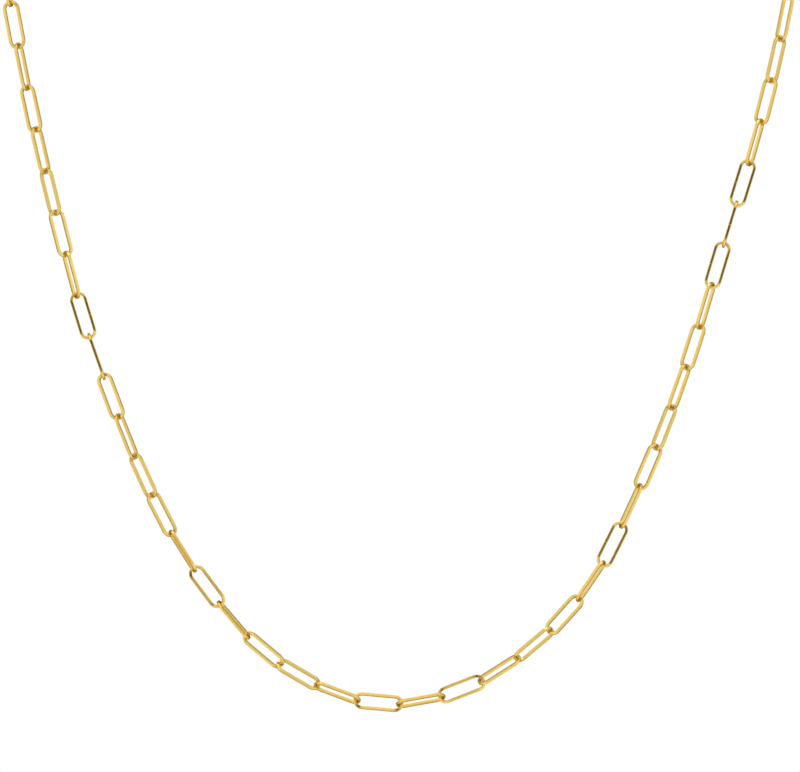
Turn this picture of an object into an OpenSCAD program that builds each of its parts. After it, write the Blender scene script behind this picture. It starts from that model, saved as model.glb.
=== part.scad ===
// Fine paperclip-chain choker, in the form it takes when worn.
// The front stretch hangs in a plane that leans back a little. Past its top it folds over
// the sides of the neck and goes round behind, where a spring-ring clasp closes the loop.
// Millimetres, +Z up, the front faces -Y, origin at the middle of the neck opening.

/* [Chain] */
// Distance from one joint of the chain to the next
pitch = 5.6; // [5.3:0.05:6]
// Width of a link over its two legs
link_width = 2.2; // [2.1:0.05:2.4]
// Side of the square wire that the links are bent from
wire = 0.36; // [0.3:0.01:0.37]
// Free play where two links meet
play = 0.34; // [0.28:0.01:0.36]

/* [Form] */
// Lean of the front stretch, back from upright
front_lean = 20; // [0:1:30]
// Rise of the stretch behind the neck, up from level
back_rise = 5; // [0:1:20]
// Radius of the fold over the sides of the neck
fold_radius = 22; // [15:1:28]
// Links on each side between the front stretch and the clasp, an even number
back_links = 16; // [14:2:18]

/* [Clasp] */
// Diameter of the spring ring over all
ring_width = 5.3; // [5:0.1:6]
// Thickness of the spring ring's tube
ring_tube = 0.9; // [0.7:0.05:1]
// Diameter of the clasp's eye over all
eye_width = 2.3; // [2.2:0.05:2.6]
// Thickness of the eye's wire
eye_tube = 0.6; // [0.5:0.05:0.65]
// Diameter of the thumb knob
knob_width = 0.8; // [0.6:0.05:0.9]
// How far the thumb knob stands out of the ring
knob_height = 0.7; // [0.4:0.05:1]

/* [Hidden] */
$fn = 48;
GOLD = "#d2b271";

// The front stretch from its upper left end to its upper right end, a row for each section:
// number of links, turn of the path at each link, roll of the first link, added roll of each next link.
// Turn and roll are in degrees. Every second link takes a further quarter turn.
LINKS = 0;
TURN = 1;
ROLL = 2;
TWIST = 3;
FRONT = [
    [5, 0.75, 16, 6.5],
    [2, 0.50, 61, 5],
    [2, 2.25, 87, 1.5],
    [2, 1.25, 113.5, 3],
    [2, 2.75, 132, 11],
    [2, 4.75, 166, 2],
    [1, 3.50, 190, 0],
    [3, 9.75, 215, 13],
    [2, 15.25, 255, -11],
    [2, 11.25, 272, 27],
    [4, 7.75, 320, 11],
    [4, 1.75, 374, 13.5],
    [2, 1.50, 416, 8],
    [3, -0.25, 449, -1.5],
    [4, 1.50, 425, -10]
];
// Direction in which the front stretch sets off, from +X
start_heading = -80;
// Distance from the middle of the loop to the upper left end of the front stretch, in pitches
start_reach = 9.12;
// Height above the front stretch at which the fold begins, in pitches
fold_start = 0.2;
// How far the clasp's eye and ring sink into each other, as a share of their mean thickness
clasp_bond = 0.3;
// Place of the thumb knob round the ring, from the side away from the eye
knob_angle = 120;
// Halvings in the search for the back arc's radius
SEARCH_STEPS = 40;

link_length = pitch + 2 * wire + play;

// Each front link's turn and roll, from the table
turns = [for (row = FRONT) for (k = [1 : row[LINKS]]) row[TURN]];
front_rolls = [for (row = FRONT) for (k = [1 : row[LINKS]]) row[ROLL] + (k - 1) * row[TWIST]];
front_links = len(turns);

// The joints of the front stretch, laid out flat
headings = [for (i = 0, h = start_heading; i < front_links; h = h + turns[i], i = i + 1) h + turns[i]];
front_path = [
    for (i = 0, p = [-start_reach * pitch, 0];
         i <= front_links;
         p = i < front_links ? p + pitch * [cos(headings[i]), sin(headings[i])] : p, i = i + 1) p
];

// The clasp: where its parts lie along the chain, measured from the joint with its eye
eye_radius = (eye_width - eye_tube) / 2;
ring_radius = (ring_width - ring_tube) / 2;
eye_at = eye_radius - (play + eye_tube) / 2;
ring_at = eye_at + eye_radius + ring_radius + (1 - clasp_bond) * (eye_tube + ring_tube) / 2;
clasp_span = ring_at + ring_radius - (play + ring_tube) / 2;

// The back stretch is an arc, laid out flat, whose chords are the links and the clasp
chord_start = front_path[front_links];
chord_end = front_path[0];
chord = norm(chord_end - chord_start);
function chord_angle(length, radius) = 2 * asin(length / (2 * radius));
function arc_excess(radius) =
    2 * back_links * chord_angle(pitch, radius) + chord_angle(clasp_span, radius)
    + chord_angle(chord, radius) - 360;
function solve_radius(low, high, steps) =
    let (middle = (low + high) / 2)
    steps == 0 ? middle
    : arc_excess(middle) > 0 ? solve_radius(middle, high, steps - 1)
    : solve_radius(low, middle, steps - 1);
arc_radius = solve_radius(chord / 2, chord, SEARCH_STEPS);
chord_along = (chord_end - chord_start) / chord;
chord_across = [chord_along[1], -chord_along[0]];
arc_centre = (chord_start + chord_end) / 2 + chord_across * sqrt(pow(arc_radius, 2) - pow(chord / 2, 2));
link_step = chord_angle(pitch, arc_radius);
function arc_point(from, angle) =
    let (v = from - arc_centre)
    arc_centre + [v[0] * cos(angle) - v[1] * sin(angle), v[0] * sin(angle) + v[1] * cos(angle)];
left_path = [for (k = [back_links : -1 : 1]) arc_point(chord_end, -k * link_step)];
right_path = [for (k = [1 : back_links]) arc_point(chord_start, k * link_step)];

// The whole loop laid out flat, from the clasp's ring, round the front, to the clasp's eye
path = concat(left_path, front_path, right_path);
link_count = len(path) - 1;
half_count = back_links + floor(front_links / 2);

// The two end links are square to the clasp's rings, and the roll changes evenly up to the front stretch.
// The right end takes its quarter turn from the odd place of its last link.
first_roll = front_rolls[0];
last_roll = front_rolls[front_links - 1];
clasp_roll_left = 180 * round(first_roll / 180);
clasp_roll_right = 180 * round((last_roll - 90) / 180) + 90;
rolls = concat(
    [for (k = [back_links : -1 : 1]) first_roll + (clasp_roll_left - first_roll) * k / back_links],
    front_rolls,
    [for (k = [1 : back_links]) last_roll + (clasp_roll_right - last_roll) * k / back_links]
);
function quarter_turn(i) = 90 * ((i - back_links) % 2);

// The fold: a flat point [x, up] goes to its place in space, with no change of length
front_slope = 90 - front_lean;
fold_length = fold_radius * (front_slope - back_rise) * PI / 180;
function slope_at(s) = front_slope - (front_slope - back_rise) * min(max(s / fold_length, 0), 1);
function side_view(s) =
    let (e = slope_at(s))
    min(s, 0) * [cos(front_slope), sin(front_slope)]
    + fold_radius * [sin(front_slope) - sin(e), cos(e) - cos(front_slope)]
    + max(s - fold_length, 0) * [cos(back_rise), sin(back_rise)];
function past_fold_start(p) = p[1] - fold_start * pitch;

// The origin: midway between the front and the back of the loop, level with the end of the fold
back_edge = side_view(past_fold_start(arc_centre + [0, arc_radius]));
front_edge = side_view(past_fold_start([0, min([for (p = front_path) p[1]])]));
fold_end = side_view(fold_length);
origin = [0, (front_edge[0] + back_edge[0]) / 2, fold_end[1]];
function in_space(p) = let (v = side_view(past_fold_start(p))) [p[0], v[0], v[1]] - origin;
function face_at(p) = let (e = slope_at(past_fold_start(p))) [0, -sin(e), cos(e)];

// A frame on the stretch from one flat point to the next: X runs along it, Z is the face, turned by roll
function unit(v) = v / norm(v);
function place(from, to, roll) =
    let (a = in_space(from),
         b = in_space(to),
         along = unit(b - a),
         side = unit(cross(along, face_at((from + to) / 2))),
         face = cross(side, along),
         z = cos(roll) * face + sin(roll) * side,
         y = cross(z, along),
         c = (a + b) / 2)
    [[along[0], y[0], z[0], c[0]],
     [along[1], y[1], z[1], c[1]],
     [along[2], y[2], z[2], c[2]],
     [0, 0, 0, 1]];

module long_round(length, width, height) {
    cube([length - width, width, height], center = true);
    for (end = [-1, 1])
        translate([end * (length - width) / 2, 0, 0])
            cylinder(d = width, h = height, center = true);
}

module link() {
    difference() {
        long_round(link_length, link_width, wire);
        long_round(link_length - 2 * wire, link_width - 2 * wire, 2 * wire);
    }
}

module chain(first, last) {
    for (i = [first : last])
        multmatrix(place(path[i], path[i + 1], rolls[i] + quarter_turn(i)))
            link();
}

module ring(radius, tube) {
    rotate_extrude()
        translate([radius, 0])
            circle(d = tube);
}

module knob() {
    rotate([0, 90, 0])
        cylinder(d = knob_width, h = ring_tube / 2 + knob_height);
}

module clasp_body() {
    translate([eye_at, 0, 0])
        ring(eye_radius, eye_tube);
    translate([ring_at, 0, 0]) {
        ring(ring_radius, ring_tube);
        rotate([0, 0, knob_angle])
            translate([ring_radius, 0, 0])
                knob();
    }
}

module chain_left() {
    color(GOLD) chain(0, half_count - 1);
}

module chain_right() {
    color(GOLD) chain(half_count, link_count - 1);
}

module clasp() {
    color(GOLD)
        multmatrix(place(path[link_count], path[0], 90))
            translate([-clasp_span / 2, 0, 0])
                clasp_body();
}

chain_left();
chain_right();
clasp();
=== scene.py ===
import math
import random

import bmesh
import bpy
import numpy as np
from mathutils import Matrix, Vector
from mathutils.bvhtree import BVHTree


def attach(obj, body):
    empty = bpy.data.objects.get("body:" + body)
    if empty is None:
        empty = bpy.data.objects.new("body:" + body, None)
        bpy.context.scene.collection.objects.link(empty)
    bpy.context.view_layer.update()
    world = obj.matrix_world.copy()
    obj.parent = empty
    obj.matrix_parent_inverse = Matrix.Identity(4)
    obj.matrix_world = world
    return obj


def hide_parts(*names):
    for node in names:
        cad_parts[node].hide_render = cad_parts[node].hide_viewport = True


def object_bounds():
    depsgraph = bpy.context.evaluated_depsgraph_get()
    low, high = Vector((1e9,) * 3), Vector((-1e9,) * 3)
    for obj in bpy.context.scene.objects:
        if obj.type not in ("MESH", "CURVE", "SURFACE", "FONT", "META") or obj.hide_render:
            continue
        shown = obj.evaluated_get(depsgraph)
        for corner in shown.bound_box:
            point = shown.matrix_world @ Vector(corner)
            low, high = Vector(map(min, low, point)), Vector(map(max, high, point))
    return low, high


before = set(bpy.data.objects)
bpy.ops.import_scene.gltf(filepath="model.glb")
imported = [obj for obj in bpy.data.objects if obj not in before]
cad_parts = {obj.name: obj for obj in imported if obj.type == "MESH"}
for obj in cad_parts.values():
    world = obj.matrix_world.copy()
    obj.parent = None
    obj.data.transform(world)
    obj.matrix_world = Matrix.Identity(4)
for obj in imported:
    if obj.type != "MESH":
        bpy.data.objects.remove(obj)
cad_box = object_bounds()

MM = 0.001

# The wire and the link, in millimetres. Pitch, width and places come from the frame.
WIRE = 0.39
WIRE_CORNER = 0.06
CORNER_STEPS = 4
CORNER_SUPPORT = 0.02
LEG_STEPS = 8
END_STEPS = 18

# A bend makes the wire thicker on its inside and thinner on its outside, by this share at most.
# The rise says how fast that sets in from either end of the bend, by the sine of the turn.
KEYSTONE = 0.2
KEYSTONE_RISE = 2.5

# The solder seam in the middle of a leg: which leg, its spread in millimetres, and by what share it
# swells the wire. The rings across it lie at these multiples of its spread.
SEAM_SIDE = 1
SEAM_SPREAD = 0.09
SEAM_BULGE = 0.035
SEAM_RINGS = (-2.4, -1.6, -1.0, -0.5, 0.0, 0.5, 1.0, 1.6, 2.4)

# Play at a joint, in millimetres: the least with which the parts don't cut into each other.
# The clasp stays in its place, so a link that meets it takes up the clasp's half of the play too.
LEAST_PLAY = 0.0
LEAST_PLAY_AT_CLASP = -0.30
MOST_PLAY = 0.30
PLAY_STEP = 0.01

# What tells one link from the next: the seeds of the random draws, and the run of wire, in millimetres,
# that the links are cut from. What has no draw has the middle tone.
LEFT_SEED = 11
RIGHT_SEED = 23
WIRE_RUN = 100
MIDDLE_TONE = 0.5

# The clasp, a spring ring with an eye, in millimetres.
# Places round the ring are in degrees, from the side away from the eye.
RING_WIDTH = 5.3
RING_TUBE = 0.9
RING_STEPS = 160
TUBE_STEPS = 24
BOLT_TUBE = 0.7
BOLT_FROM = 24
BOLT_TO = 104
LIP = 0.04
LIP_TURN = 1.5
EYE_WIDTH = 2.3
EYE_TUBE = 0.6
EYE_STEPS = 64

# The thumb knob: its place round the ring, and rows of radius and height above the tube's middle
KNOB_ANGLE = 120
KNOB_PROFILE = (
    (0.20, 0.30), (0.20, 0.50), (0.22, 0.56), (0.35, 0.66), (0.39, 0.72),
    (0.40, 0.80), (0.39, 0.90), (0.35, 1.00), (0.26, 1.08), (0.14, 1.13),
)

# The bead of solder between eye and ring: its half sizes along, across and up, its steps from end to
# end, and the steps round it, which the knob has too
BEAD_SIZE = (0.24, 0.46, 0.27)
BEAD_STEPS = 12
ROUND_STEPS = 32

# The clasp's parts: where each one's wire coordinates start, and its strip of the bake map
RING_MAP = ((0.0, 0.0), (0.0, 0.4))
EYE_MAP = ((20.0, 0.0), (0.4, 0.7))
KNOB_MAP = ((30.0, 0.0), (0.7, 0.85))
BEAD_MAP = ((40.0, 0.0), (0.85, 1.0))

# The share of a strip of the bake map that stays free at either end and on either side
STRIP_END = 0.01
STRIP_SIDE = 0.1

# The layers of coordinates, for the materials and for the bake map, and the marks for the materials
UV_LAYERS = ("wire", "OFBake")
MARKS = ("tone", "edge", "rub")

# Corners of the CAD mesh that lie closer than this, in metres, are one
WELD = 1e-7

# The photo: its size, where the front stretch's first joint lies in it, its scale, and how many links
# at either end of the loop it doesn't show
PHOTO_WIDTH = 800
PHOTO_HEIGHT = 772
FIRST_JOINT_PX = (10.2, 3.9)
PHOTO_MM_PER_PX = 0.13106
BACK_LINKS = 16

# The camera: distance and clipping in metres, sensor in millimetres
CAMERA_DISTANCE = 1.0
SENSOR_WIDTH = 36.0
NEAR_CLIP = 0.05
FAR_CLIP = 20.0


def unit(v):
    return v / np.linalg.norm(v)


class Link:
    """A link's place: its middle, the direction to the next link, and its face."""

    def __init__(self, points, triangles):
        self.points = points
        corners = points[triangles]
        cross = np.cross(corners[:, 1] - corners[:, 0], corners[:, 2] - corners[:, 0])
        area = np.linalg.norm(cross, axis=1) / 2
        self.middle = (corners.mean(axis=1) * area[:, None]).sum(axis=0) / area.sum()
        # The surface reaches least along the face's normal, more across the link and most along it
        arms = corners - self.middle
        sums = arms.sum(axis=1)
        spread = np.einsum("t,tci,tcj->ij", area, arms, arms)
        spread += np.einsum("t,ti,tj->ij", area, sums, sums)
        self.face, self.across, self.along = np.linalg.eigh(spread)[1].T
        self.width = np.ptp(points @ self.across)
        self.play = [0.0, 0.0]

    def head_for(self, target):
        """Points the link's own axes to the target, right-handed."""
        if (target - self.middle) @ self.along < 0:
            self.along = -self.along
        self.across = np.cross(self.face, self.along)


def loose_solids(node):
    """Points and triangles of each loose solid of a CAD node, in millimetres."""
    bm = bmesh.new()
    bm.from_mesh(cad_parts[node].data)
    bmesh.ops.remove_doubles(bm, verts=bm.verts, dist=WELD)
    bmesh.ops.triangulate(bm, faces=bm.faces)
    bm.verts.index_update()
    solids, seen = [], set()
    for first in bm.verts:
        if first.index in seen:
            continue
        seen.add(first.index)
        group = [first]
        for vert in group:
            for edge in vert.link_edges:
                other = edge.other_vert(vert)
                if other.index not in seen:
                    seen.add(other.index)
                    group.append(other)
        number = {vert.index: k for k, vert in enumerate(group)}
        own_faces = [face for face in bm.faces if face.verts[0].index in number]
        triangles = [[number[vert.index] for vert in face.verts] for face in own_faces]
        solids.append((np.array([vert.co for vert in group]) / MM, np.array(triangles)))
    bm.free()
    return solids


def chain_from(start, node):
    """A node's links in the order that they hang in, from the one nearest the start."""
    remaining = [Link(*solid) for solid in loose_solids(node)]
    ordered = []
    here = start
    while remaining:
        nearest = min(remaining, key=lambda link: np.linalg.norm(link.middle - here))
        remaining.remove(nearest)
        ordered.append(nearest)
        here = nearest.middle
    return ordered


clasp_solid = Link(*loose_solids("clasp")[0])
left_links = chain_from(clasp_solid.middle, "chain_left")
right_links = chain_from(clasp_solid.middle, "chain_right")[::-1]
links = left_links + right_links
for link, following in zip(links, links[1:] + [clasp_solid]):
    link.head_for(following.middle)

# Two neighbours' middles lie half a pitch either way from their joint, each along its own link
middle_step = links[1].middle - links[0].middle
pitch = np.linalg.norm(middle_step) / np.linalg.norm((links[0].along + links[1].along) / 2)


class Shell:
    """A closed surface in millimetres: points, faces, the faces' coordinates and the points' marks."""

    def __init__(self, points, faces, wire_uv, bake_uv, tone, edge=0.0, rub=0.0):
        self.points = points.reshape(-1, 3)
        self.faces = faces
        self.uvs = (wire_uv, bake_uv)
        self.marks = [np.broadcast_to(mark, len(self.points)) for mark in (tone, edge, rub)]

    def tree(self):
        return BVHTree.FromPolygons(self.points.tolist(), self.faces)


def piece_of(name, node, shells):
    """One mesh of many shells, with the coordinates and marks that the materials read."""
    starts = np.cumsum([0] + [len(shell.points) for shell in shells[:-1]]).tolist()
    points = np.concatenate([shell.points for shell in shells])
    faces = [
        [corner + start for corner in face]
        for shell, start in zip(shells, starts)
        for face in shell.faces
    ]
    mesh = bpy.data.meshes.new(name)
    mesh.from_pydata((points * MM).tolist(), [], faces)
    for number, layer in enumerate(UV_LAYERS):
        values = np.concatenate([shell.uvs[number] for shell in shells]).astype(np.float32)
        mesh.uv_layers.new(name=layer).uv.foreach_set("vector", values.ravel())
    for number, mark in enumerate(MARKS):
        values = np.concatenate([shell.marks[number] for shell in shells]).astype(np.float32)
        mesh.attributes.new(mark, "FLOAT", "POINT").data.foreach_set("value", values)
    mesh.polygons.foreach_set("use_smooth", np.ones(len(mesh.polygons), bool))
    piece = bpy.data.objects.new(name, mesh)
    bpy.context.scene.collection.objects.link(piece)
    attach(piece, "root")
    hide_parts(node)
    return piece


def in_strip(u, v, strip):
    """Takes coordinates from 0 to 1 into a strip of the bake map."""
    low, high = strip
    u = STRIP_END + (1 - 2 * STRIP_END) * u
    v = STRIP_SIDE + (1 - 2 * STRIP_SIDE) * v
    return np.stack([u, low + (high - low) * v], axis=-1).reshape(-1, 2)


def closed_grid(points, along, around, start, strip, **marks):
    """A shell of quads from rings of points, closed both ways.

    Along and around give the way to each ring and to each point of a ring, and back to the first.
    The wire coordinates are these ways, counted from the start.
    """
    rows, columns = points.shape[:2]
    places = np.meshgrid(np.arange(rows), np.arange(columns), indexing="ij")
    k, j = (grid.ravel() for grid in places)
    k2, j2 = (k + 1) % rows, (j + 1) % columns
    corners = [k * columns + j, k2 * columns + j, k2 * columns + j2, k * columns + j2]
    u = np.stack([along[k], along[k + 1], along[k + 1], along[k]], axis=-1)
    v = np.stack([around[j], around[j], around[j + 1], around[j + 1]], axis=-1)
    wire_uv = np.stack([u + start[0], v + start[1]], axis=-1).reshape(-1, 2)
    bake_uv = in_strip(u / along[-1], v / around[-1], strip)
    return Shell(points, np.stack(corners, axis=-1).tolist(), wire_uv, bake_uv, **marks)


def wire_section():
    """The wire's section, a square with small round corners: rows of outward, up and edge mark."""
    flat = WIRE / 2 - WIRE_CORNER
    section = []
    for quarter in range(4):
        c, s = math.cos(quarter * math.pi / 2), math.sin(quarter * math.pi / 2)
        corner = [(WIRE / 2, flat - CORNER_SUPPORT, 0.0)]
        for step in range(CORNER_STEPS + 1):
            angle = step * math.pi / 2 / CORNER_STEPS
            x = flat + WIRE_CORNER * math.cos(angle)
            y = flat + WIRE_CORNER * math.sin(angle)
            corner.append((x, y, 1.0))
        corner.append((flat - CORNER_SUPPORT, WIRE / 2, 0.0))
        section += [(x * c - y * s, x * s + y * c, mark) for x, y, mark in corner]
    return np.array(section)


SECTION = wire_section()

# Columns of a link's rings: place in its plane, outward direction, way along, swelling and bending
PLACE = slice(0, 2)
OUTWARD = slice(2, 4)
WAY = 4
SWELL = 5
BENT = 6


def leg_spots(reach, side):
    """Where the rings lie along a leg, in the order that the wire runs round the link."""
    spots = list(np.linspace(-reach[0], reach[1], LEG_STEPS + 1))
    if side == SEAM_SIDE:
        seam = [multiple * SEAM_SPREAD for multiple in SEAM_RINGS]
        spots = [spot for spot in spots if abs(spot) > seam[-1] + SEAM_SPREAD] + seam
    return sorted(spots, reverse=side > 0)


def link_rings(link):
    """Rings round a link, in the columns above, and the whole way round."""
    bend = (link.width - WIRE) / 2
    reach = [pitch / 2 + play / 2 + WIRE / 2 - bend for play in link.play]
    rings = []
    way = 0.0
    for side in (-1, 1):
        spots = leg_spots(reach, side)
        bulge = SEAM_BULGE if side == SEAM_SIDE else 0.0
        for spot in spots:
            swell = 1.0 + bulge * math.exp(-((spot / SEAM_SPREAD) ** 2))
            rings.append((spot, side * bend, 0.0, side, way + abs(spot - spots[0]), swell, 0.0))
        way += sum(reach)
        for step in range(1, END_STEPS):
            turn = step * math.pi / END_STEPS
            x = math.cos(turn + side * math.pi / 2)
            y = math.sin(turn + side * math.pi / 2)
            bent = min(1.0, KEYSTONE_RISE * math.sin(turn))
            rings.append((spots[-1] + bend * x, bend * y, x, y, way + bend * turn, 1.0, bent))
        way += math.pi * bend
    return np.array(rings), way


def link_shell(link, start=(0.0, 0.0), strip=(0.0, 1.0), tone=MIDDLE_TONE):
    """A link bent from the wire, seated by its play. The inside of its ends carries the mark for
    tarnish and painted shade where links meet.
    """
    rings, length = link_rings(link)
    swell = rings[:, SWELL, None, None]
    bent = rings[:, BENT, None, None]
    outward = SECTION[None, :, 0:1] * swell
    up = SECTION[None, :, 1:2] * swell
    up = up * (1 - KEYSTONE * bent * SECTION[None, :, 0:1] / (WIRE / 2))
    plane = rings[:, None, PLACE] + rings[:, None, OUTWARD] * outward
    in_plane = plane[:, :, 0:1] * link.along + plane[:, :, 1:2] * link.across
    points = link.middle + in_plane + up * link.face
    sides = np.diff(SECTION[:, :2], axis=0, append=SECTION[:1, :2])
    around = np.concatenate([[0.0], np.cumsum(np.linalg.norm(sides, axis=1))])
    # The mark for tarnish and painted shade: the inside of the wire near the link's ends, where links
    # meet
    at_end = np.clip((np.abs(rings[:, 0]) - pitch / 2 + WIRE) / WIRE, 0, 1)
    inside = np.clip(-SECTION[:, 0] / (WIRE / 2), 0, 1)
    edge = np.tile(SECTION[:, 2], len(rings))
    rub = np.outer(at_end, inside).ravel()
    way = np.append(rings[:, WAY], length)
    return closed_grid(points, way, around, start, strip, tone=tone, edge=edge, rub=rub)


def seat(ends, least, fixed=None):
    """Gives one or two links' ends the least play with which they don't cut into what they meet."""
    for play in np.arange(least, MOST_PLAY, PLAY_STEP):
        for link, end in ends:
            link.play[end] = play
        trees = [link_shell(link).tree() for link, end in ends] + [fixed]
        if not trees[0].overlap(trees[1]):
            return


class Clasp:
    """The clasp's place: the joint with its eye, its axes, and how far along its two rings lie."""

    def __init__(self, solid, eye_joint, ring_joint):
        self.joint = eye_joint
        self.along = unit(ring_joint - eye_joint)
        self.normal = solid.face
        self.across = np.cross(self.normal, self.along)
        reach = (solid.points - eye_joint) @ np.stack([self.along, self.across], axis=-1)
        if reach[:, 1].max() + reach[:, 1].min() < 0:
            self.across, self.normal = -self.across, -self.normal
        self.eye_at = reach[:, 0].min() + EYE_WIDTH / 2
        self.ring_at = reach[:, 0].max() - RING_WIDTH / 2

    def in_space(self, local):
        """Points given along, across and up from the joint, in space."""
        return self.joint + local @ np.stack([self.along, self.across, self.normal])


def ring_points(centre, radius, turns, tubes):
    """Rings of points round a tube bent to a circle, from turns in degrees and tube diameters."""
    around = np.radians(np.arange(TUBE_STEPS) * 360 / TUBE_STEPS)
    turns = np.radians(turns)[:, None]
    out = radius + tubes[:, None] / 2 * np.cos(around)
    up = tubes[:, None] / 2 * np.sin(around)
    return np.stack([centre + out * np.cos(turns), out * np.sin(turns), up], axis=-1)


def tube_shell(clasp, centre, width, turns, tubes, start, strip):
    """A ring of the clasp, from the turns and diameters of its tube."""
    radius = (width - max(tubes)) / 2
    points = clasp.in_space(ring_points(centre, radius, turns, tubes))
    along = np.radians(np.append(turns, turns[0] + 360) - turns[0]) * radius
    around = np.linspace(0, math.pi * max(tubes), TUBE_STEPS + 1)
    return closed_grid(points, along, around, start, strip, tone=MIDDLE_TONE)


def spring_ring_profile():
    """Turns and diameters round the spring ring. A thinner bolt shows between the tube's lips."""
    lips = [
        (BOLT_TO, BOLT_TUBE),
        (BOLT_TO, RING_TUBE - 2 * LIP),
        (BOLT_TO + LIP_TURN / 3, RING_TUBE - LIP / 2),
        (BOLT_TO + LIP_TURN, RING_TUBE),
    ]
    turns = np.linspace(BOLT_TO + 2 * LIP_TURN, 360 + BOLT_FROM - 2 * LIP_TURN, RING_STEPS)
    tube = [(turn, RING_TUBE) for turn in turns]
    far_lips = [(360 + BOLT_FROM + BOLT_TO - turn, width) for turn, width in reversed(lips)]
    steps = round(RING_STEPS * (BOLT_TO - BOLT_FROM) / 360)
    turns = np.linspace(360 + BOLT_FROM, 360 + BOLT_TO, steps)[1:-1]
    bolt = [(turn, BOLT_TUBE) for turn in turns]
    return np.array(lips + tube + far_lips + bolt).T


def round_shell(profile, place, start, strip):
    """A closed shell turned from rows of radius and height, with a point at each end."""
    columns = ROUND_STEPS
    turns = np.arange(columns) * 2 * math.pi / columns
    radii, heights = np.array(profile).T
    rings = np.stack([
        np.outer(radii, np.cos(turns)),
        np.outer(radii, np.sin(turns)),
        np.outer(heights, np.ones(columns)),
    ], axis=-1)
    ends = np.array([[0.0, 0.0, heights[0]], [0.0, 0.0, heights[-1]]])
    points = place(np.concatenate([rings.reshape(-1, 3), ends]))
    last = len(profile) - 1
    bottom, top = len(profile) * columns, len(profile) * columns + 1
    faces, uv = [], []
    for j in range(columns):
        j2 = (j + 1) % columns
        faces.append([bottom, j2, j])
        uv += [(j + 0.5, -0.5), (j + 1, 0), (j, 0)]
        for k in range(last):
            low, high = k * columns, (k + 1) * columns
            faces.append([low + j, low + j2, high + j2, high + j])
            uv += [(j, k), (j + 1, k), (j + 1, k + 1), (j, k + 1)]
        faces.append([top, last * columns + j, last * columns + j2])
        uv += [(j + 0.5, last + 0.5), (j, last), (j + 1, last)]
    uv = (np.array(uv) + (0, 0.5)) / (columns, last + 1)
    wire_uv = uv * (2 * math.pi * radii.max(), np.ptp(heights)) + start
    return Shell(points, faces, wire_uv, in_strip(*uv.T, strip), tone=MIDDLE_TONE)


def knob_place(clasp):
    """Takes the knob's own points to the spring ring's outer side."""
    turn = math.radians(KNOB_ANGLE)
    out = np.array([math.cos(turn), math.sin(turn), 0.0])
    side = np.array([-math.sin(turn), math.cos(turn), 0.0])
    foot = np.array([clasp.ring_at, 0.0, 0.0]) + out * (RING_WIDTH - RING_TUBE) / 2
    axes = np.stack([side, np.array([0.0, 0.0, 1.0]), out])
    return lambda local: clasp.in_space(foot + local @ axes)


def bead_place(clasp):
    """Takes a unit ball to the bead of solder between the eye and the spring ring."""
    eye_side = clasp.eye_at + EYE_WIDTH / 2
    ring_side = clasp.ring_at - RING_WIDTH / 2
    middle = np.array([(eye_side + ring_side) / 2, 0.0, 0.0])
    return lambda local: clasp.in_space(middle + local * BEAD_SIZE)


def clasp_shells(clasp):
    """The clasp's spring ring, eye, thumb knob and bead of solder."""
    turns, tubes = spring_ring_profile()
    ring = tube_shell(clasp, clasp.ring_at, RING_WIDTH, turns, tubes, *RING_MAP)
    turns = np.arange(EYE_STEPS) * 360 / EYE_STEPS
    tubes = np.full(EYE_STEPS, EYE_TUBE)
    eye = tube_shell(clasp, clasp.eye_at, EYE_WIDTH, turns, tubes, *EYE_MAP)
    knob = round_shell(KNOB_PROFILE, knob_place(clasp), *KNOB_MAP)
    slopes = np.radians(np.linspace(-90, 90, BEAD_STEPS + 1)[1:-1])
    ball = list(zip(np.cos(slopes), np.sin(slopes)))
    bead = round_shell(ball, bead_place(clasp), *BEAD_MAP)
    return [ring, eye, knob, bead]


clasp = Clasp(
    clasp_solid,
    right_links[-1].middle + right_links[-1].along * pitch / 2,
    left_links[0].middle - left_links[0].along * pitch / 2,
)
metal = clasp_shells(clasp)
ring_tree, eye_tree = metal[0].tree(), metal[1].tree()
for before, after in zip(links, links[1:]):
    seat([(before, 1), (after, 0)], LEAST_PLAY)
seat([(links[0], 0)], LEAST_PLAY_AT_CLASP, ring_tree)
seat([(links[-1], 1)], LEAST_PLAY_AT_CLASP, eye_tree)


def chain_shells(members, seed):
    """A node's links, each with a tone of its own and from its own stretch of wire."""
    draw = random.Random(seed)
    shells = []
    for number, link in enumerate(members):
        start = (draw.uniform(0, WIRE_RUN), number)
        strip = (number / len(members), (number + 1) / len(members))
        shells.append(link_shell(link, start, strip, draw.random()))
    return shells


left_shells = chain_shells(left_links, LEFT_SEED)
right_shells = chain_shells(right_links, RIGHT_SEED)
left_piece = piece_of("links_left", "chain_left", left_shells)
right_piece = piece_of("links_right", "chain_right", right_shells)
clasp_piece = piece_of("spring_ring", "clasp", metal)


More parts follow.
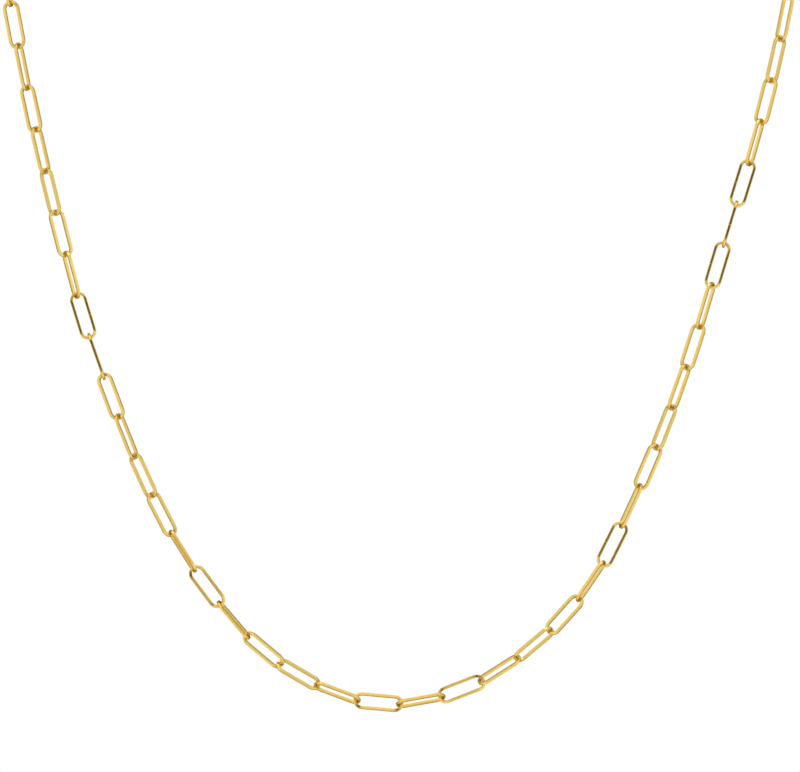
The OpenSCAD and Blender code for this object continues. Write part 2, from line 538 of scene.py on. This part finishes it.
class Nodes:
    """Short calls to build a node tree."""

    def __init__(self, tree):
        self.tree = tree
        tree.nodes.clear()

    def add(self, kind, inputs=None, **settings):
        node = self.tree.nodes.new(kind)
        for key, value in settings.items():
            setattr(node, key, value)
        for key, value in (inputs or {}).items():
            if isinstance(value, bpy.types.NodeSocket):
                self.tree.links.new(value, node.inputs[key])
            else:
                node.inputs[key].default_value = value
        return node

    def math(self, operation, a, b=0.0):
        return self.add("ShaderNodeMath", {0: a, 1: b}, operation=operation).outputs[0]

    def noise(self, vector, scale, detail):
        inputs = {"Vector": vector, "Scale": scale, "Detail": detail}
        return self.add("ShaderNodeTexNoise", inputs).outputs["Fac"]

    def spread(self, value, low, high, to_low=0.0, to_high=1.0):
        inputs = {0: value, 1: low, 2: high, 3: to_low, 4: to_high}
        return self.add("ShaderNodeMapRange", inputs, clamp=True).outputs[0]

    def dot(self, vector, axis):
        inputs = {0: vector, 1: tuple(axis)}
        node = self.add("ShaderNodeVectorMath", inputs, operation="DOT_PRODUCT")
        return node.outputs["Value"]

    def stretched(self, vector, scale):
        inputs = {"Vector": vector, "Scale": scale}
        return self.add("ShaderNodeMapping", inputs).outputs[0]

    def mix(self, factor, a, b):
        inputs = {"Factor": factor, 2: a, 3: b}
        return self.add("ShaderNodeMix", inputs).outputs[0]

    def mix_colour(self, factor, a, b):
        inputs = {"Factor": factor, 6: a, 7: b}
        return self.add("ShaderNodeMix", inputs, data_type="RGBA").outputs[2]


# The gold's colours, and how much of the worn colour and of the tarnish colour, which also paints the
# shade where links meet, shows at most
PALE_GOLD = (0.985, 0.715, 0.20, 1.0)
DEEP_GOLD = (0.96, 0.62, 0.11, 1.0)
WORN_GOLD = (0.99, 0.78, 0.29, 1.0)
# The tarnish colour, which also paints the shade where links meet
TARNISH_AND_SHADE = (0.50, 0.24, 0.05, 1.0)
GRAZING_GOLD = (0.84, 0.64, 0.28, 1.0)
WORN_SHARE = 0.6
TARNISH_AND_SHADE_SHARE = 0.8

# The colour lies between pale and deep by the link's tone and by clouds, which are scaled per metre.
# The clouds also thin the tarnish and painted shade where links meet.
TONE_SHARE = 0.5
CLOUD_SHARE = 0.5
CLOUD_SCALE = 900.0
CLOUD_DETAIL = 2.0
CLOUD_RANGE = (0.3, 0.7)
GRIME_AND_SHADE_RANGE = (0.35, 0.6)
LEAST_GRIME_AND_SHADE = 0.5

# Drawing lines run along the wire and scratches across it, scaled along and round it per millimetre
LINE_SCALE = (0.9, 38.0, 1.0)
LINE_DETAIL = 2.0
LINE_RANGE = (0.3, 0.7)
SCRATCH_SCALE = (34.0, 4.0, 1.0)
SCRATCH_DETAIL = 1.0
SCRATCH_RANGE = (0.66, 0.74)

# The roughness over the drawing lines, what scratches and the tarnished, painted-shade joints add to
# it, and the relief
LINE_ROUGHNESS = (0.13, 0.21)
SCRATCH_ROUGHNESS = 0.10
GRIME_AND_SHADE_ROUGHNESS = 0.16
LINE_HEIGHT = 0.7
SCRATCH_HEIGHT = -0.5
RELIEF_STRENGTH = 0.25
RELIEF_MM = 0.004


def gold(name):
    """Polished gold wire with drawing lines, scratches, paler corners, and tarnish with painted shade
    where links meet.
    """
    material = bpy.data.materials.new(name)
    material.use_nodes = True
    n = Nodes(material.node_tree)
    wire = n.add("ShaderNodeUVMap", uv_map=UV_LAYERS[0]).outputs["UV"]
    place = n.add("ShaderNodeTexCoord").outputs["Object"]
    tone, edge, rub = (
        n.add("ShaderNodeAttribute", attribute_name=mark).outputs["Fac"] for mark in MARKS
    )
    lines = n.noise(n.stretched(wire, LINE_SCALE), 1.0, LINE_DETAIL)
    cloud = n.noise(place, CLOUD_SCALE, CLOUD_DETAIL)
    scratches = n.noise(n.stretched(wire, SCRATCH_SCALE), 1.0, SCRATCH_DETAIL)
    scratched = n.spread(scratches, *SCRATCH_RANGE)
    # Tarnish and painted shade on the inside of the links' ends, where they meet, thinned by clouds
    grime_and_shade = n.math("MULTIPLY", rub, n.spread(cloud, *GRIME_AND_SHADE_RANGE, LEAST_GRIME_AND_SHADE, 1.0))
    own = n.math("MULTIPLY", tone, TONE_SHARE)
    depth = n.math("ADD", own, n.spread(cloud, *CLOUD_RANGE, 0.0, CLOUD_SHARE))
    base = n.mix_colour(depth, PALE_GOLD, DEEP_GOLD)
    base = n.mix_colour(n.math("MULTIPLY", edge, WORN_SHARE), base, WORN_GOLD)
    # Darkens the joints with the tarnish colour, as tarnish and painted shade
    base = n.mix_colour(n.math("MULTIPLY", grime_and_shade, TARNISH_AND_SHADE_SHARE), base, TARNISH_AND_SHADE)
    rough = n.spread(lines, *LINE_RANGE, *LINE_ROUGHNESS)
    rough = n.math("ADD", rough, n.math("MULTIPLY", scratched, SCRATCH_ROUGHNESS))
    rough = n.math("ADD", rough, n.math("MULTIPLY", grime_and_shade, GRIME_AND_SHADE_ROUGHNESS))
    line_height = n.math("MULTIPLY", lines, LINE_HEIGHT)
    height = n.math("ADD", line_height, n.math("MULTIPLY", scratched, SCRATCH_HEIGHT))
    relief = n.add("ShaderNodeBump", {
        "Strength": RELIEF_STRENGTH,
        "Distance": RELIEF_MM * MM,
        "Height": height,
    })
    shader = n.add("ShaderNodeBsdfPrincipled", {
        "Base Color": base,
        "Metallic": 1.0,
        "Roughness": rough,
        "Normal": relief.outputs[0],
        "Specular Tint": GRAZING_GOLD,
    })
    n.add("ShaderNodeOutputMaterial", {"Surface": shader.outputs[0]})
    return material


chain_gold = gold("chain_gold")
left_piece.data.materials.append(chain_gold)
right_piece.data.materials.append(chain_gold)
clasp_piece.data.materials.append(gold("clasp_gold"))


# The camera looks square at the front stretch, which hangs in one plane
front = links[BACK_LINKS:len(links) - BACK_LINKS]
middles = np.array([link.middle for link in front])
sight = np.linalg.svd(middles - middles.mean(axis=0))[2][2]
if sight[1] > 0:
    sight = -sight
right = unit(np.cross((0.0, 0.0, 1.0), sight))
up = np.cross(sight, right)
first_joint = front[0].middle - front[0].along * pitch / 2
frame_centre = (
    first_joint
    + right * (PHOTO_WIDTH / 2 - FIRST_JOINT_PX[0]) * PHOTO_MM_PER_PX
    - up * (PHOTO_HEIGHT / 2 - FIRST_JOINT_PX[1]) * PHOTO_MM_PER_PX
)
camera_data = bpy.data.cameras.new("camera")
camera_data.sensor_width = SENSOR_WIDTH
camera_data.lens = SENSOR_WIDTH * CAMERA_DISTANCE / (PHOTO_WIDTH * PHOTO_MM_PER_PX * MM)
camera_data.clip_start = NEAR_CLIP
camera_data.clip_end = FAR_CLIP
camera = bpy.data.objects.new("camera", camera_data)
camera.location = Vector(frame_centre * MM) + Vector(sight) * CAMERA_DISTANCE
camera.rotation_mode = "QUATERNION"
camera.rotation_quaternion = Vector(-sight).to_track_quat("-Z", "Y")
bpy.context.scene.collection.objects.link(camera)
bpy.context.scene.camera = camera


# The floor, in metres. It and the surround look equally white to the camera.
FLOOR_DROP = 0.02
FLOOR_SIZE = 6.0
BACKGROUND_LIGHT = 1.0

# The surround's light in front, low and high, and behind the choker. The ranges in which one goes over
# into the other are cosines to the way up and to the way towards the camera. Clouds make it uneven.
FRONT_LOW_LIGHT = 0.94
FRONT_HIGH_LIGHT = 0.85
FRONT_RANGE = (-0.9, 0.9)
BEHIND_LIGHT = 0.26
BEHIND_RANGE = (0.30, -0.90)
UNEVEN_LIGHT = 0.16
UNEVEN_SCALE = 2.2
UNEVEN_DETAIL = 1.0
UNEVEN_RANGE = (0.3, 0.7)

# The dark patch where the camera stands: light, half sizes and rise in degrees, and the ranges, in half
# sizes from its middle, in which it goes over into the surround's light and into white
CAMERA_SIDE_LIGHT = 0.06
CAMERA_SIDE_WIDTH = 24.0
CAMERA_SIDE_HEIGHT = 16.0
CAMERA_SIDE_RISE = 8.0
CAMERA_SIDE_EDGE = (0.45, 1.0)
TINT_EDGE = (0.6, 1.5)
CAMERA_SIDE_TINT = (1.0, 0.84, 0.58, 1.0)
WHITE = (1.0, 1.0, 1.0, 1.0)

# The lamp above the choker and a little behind it, in metres and watts
SOFTBOX_PLACE = (0.0, 0.3, 1.1)
SOFTBOX_SIZE = 0.9
SOFTBOX_POWER = 2.0


def floor():
    """A shining white table, which shows no shadow. The metal reflects only the surround."""
    low = cad_box[0].z - FLOOR_DROP
    mesh = bpy.data.meshes.new("floor")
    h = FLOOR_SIZE / 2
    corners = [(-h, -h, low), (h, -h, low), (h, h, low), (-h, h, low)]
    mesh.from_pydata(corners, [], [(0, 1, 2, 3)])
    piece = bpy.data.objects.new("floor", mesh)
    bpy.context.scene.collection.objects.link(piece)
    material = bpy.data.materials.new("floor_white")
    material.use_nodes = True
    n = Nodes(material.node_tree)
    shader = n.add("ShaderNodeEmission", {"Strength": BACKGROUND_LIGHT})
    n.add("ShaderNodeOutputMaterial", {"Surface": shader.outputs[0]})
    mesh.materials.append(material)
    piece.visible_glossy = False


def surround():
    """White in front and at the sides, darker behind, with a dark warm patch round the camera.

    The same patch lies opposite, behind the choker. The camera itself sees only white.
    """
    world = bpy.data.worlds.new("studio")
    world.use_nodes = True
    n = Nodes(world.node_tree)
    direction = n.add("ShaderNodeTexCoord").outputs["Generated"]
    towards, aside, above = (n.dot(direction, axis) for axis in (sight, right, up))
    width = n.math("DIVIDE", aside, math.sin(math.radians(CAMERA_SIDE_WIDTH)))
    rise = n.math("SUBTRACT", above, math.sin(math.radians(CAMERA_SIDE_RISE)))
    height = n.math("DIVIDE", rise, math.sin(math.radians(CAMERA_SIDE_HEIGHT)))
    squares = (n.math("MULTIPLY", part, part) for part in (width, height))
    offset = n.math("SQRT", n.math("ADD", *squares))
    open_side = n.spread(offset, *CAMERA_SIDE_EDGE, CAMERA_SIDE_LIGHT, 1.0)
    front_light = n.spread(above, *FRONT_RANGE, FRONT_LOW_LIGHT, FRONT_HIGH_LIGHT)
    light = n.mix(n.spread(towards, *BEHIND_RANGE), front_light, BEHIND_LIGHT)
    cloud = n.noise(direction, UNEVEN_SCALE, UNEVEN_DETAIL)
    uneven = n.spread(cloud, *UNEVEN_RANGE, 1.0 - UNEVEN_LIGHT, 1.0 + UNEVEN_LIGHT)
    light = n.math("MULTIPLY", light, n.math("MULTIPLY", open_side, uneven))
    seen = n.add("ShaderNodeLightPath").outputs["Is Camera Ray"]
    light = n.mix(seen, light, BACKGROUND_LIGHT)
    untinted = n.math("MAXIMUM", seen, n.spread(offset, *TINT_EDGE))
    tint = n.mix_colour(untinted, CAMERA_SIDE_TINT, WHITE)
    shader = n.add("ShaderNodeBackground", {"Color": tint, "Strength": light})
    n.add("ShaderNodeOutputWorld", {"Surface": shader.outputs[0]})
    bpy.context.scene.world = world


def softbox():
    """A square area light that faces the choker."""
    data = bpy.data.lights.new("softbox_top", "AREA")
    data.shape = "SQUARE"
    data.size = SOFTBOX_SIZE
    data.energy = SOFTBOX_POWER
    lamp = bpy.data.objects.new("softbox_top", data)
    lamp.location = SOFTBOX_PLACE
    lamp.rotation_mode = "QUATERNION"
    towards = Vector(frame_centre * MM) - lamp.location
    lamp.rotation_quaternion = towards.to_track_quat("-Z", "Y")
    bpy.context.scene.collection.objects.link(lamp)


floor()
surround()
softbox()

scene = bpy.context.scene
scene.view_settings.view_transform = "Standard"
scene.view_settings.look = "None"
scene.view_settings.exposure = 0.0
scene.view_settings.gamma = 1.0
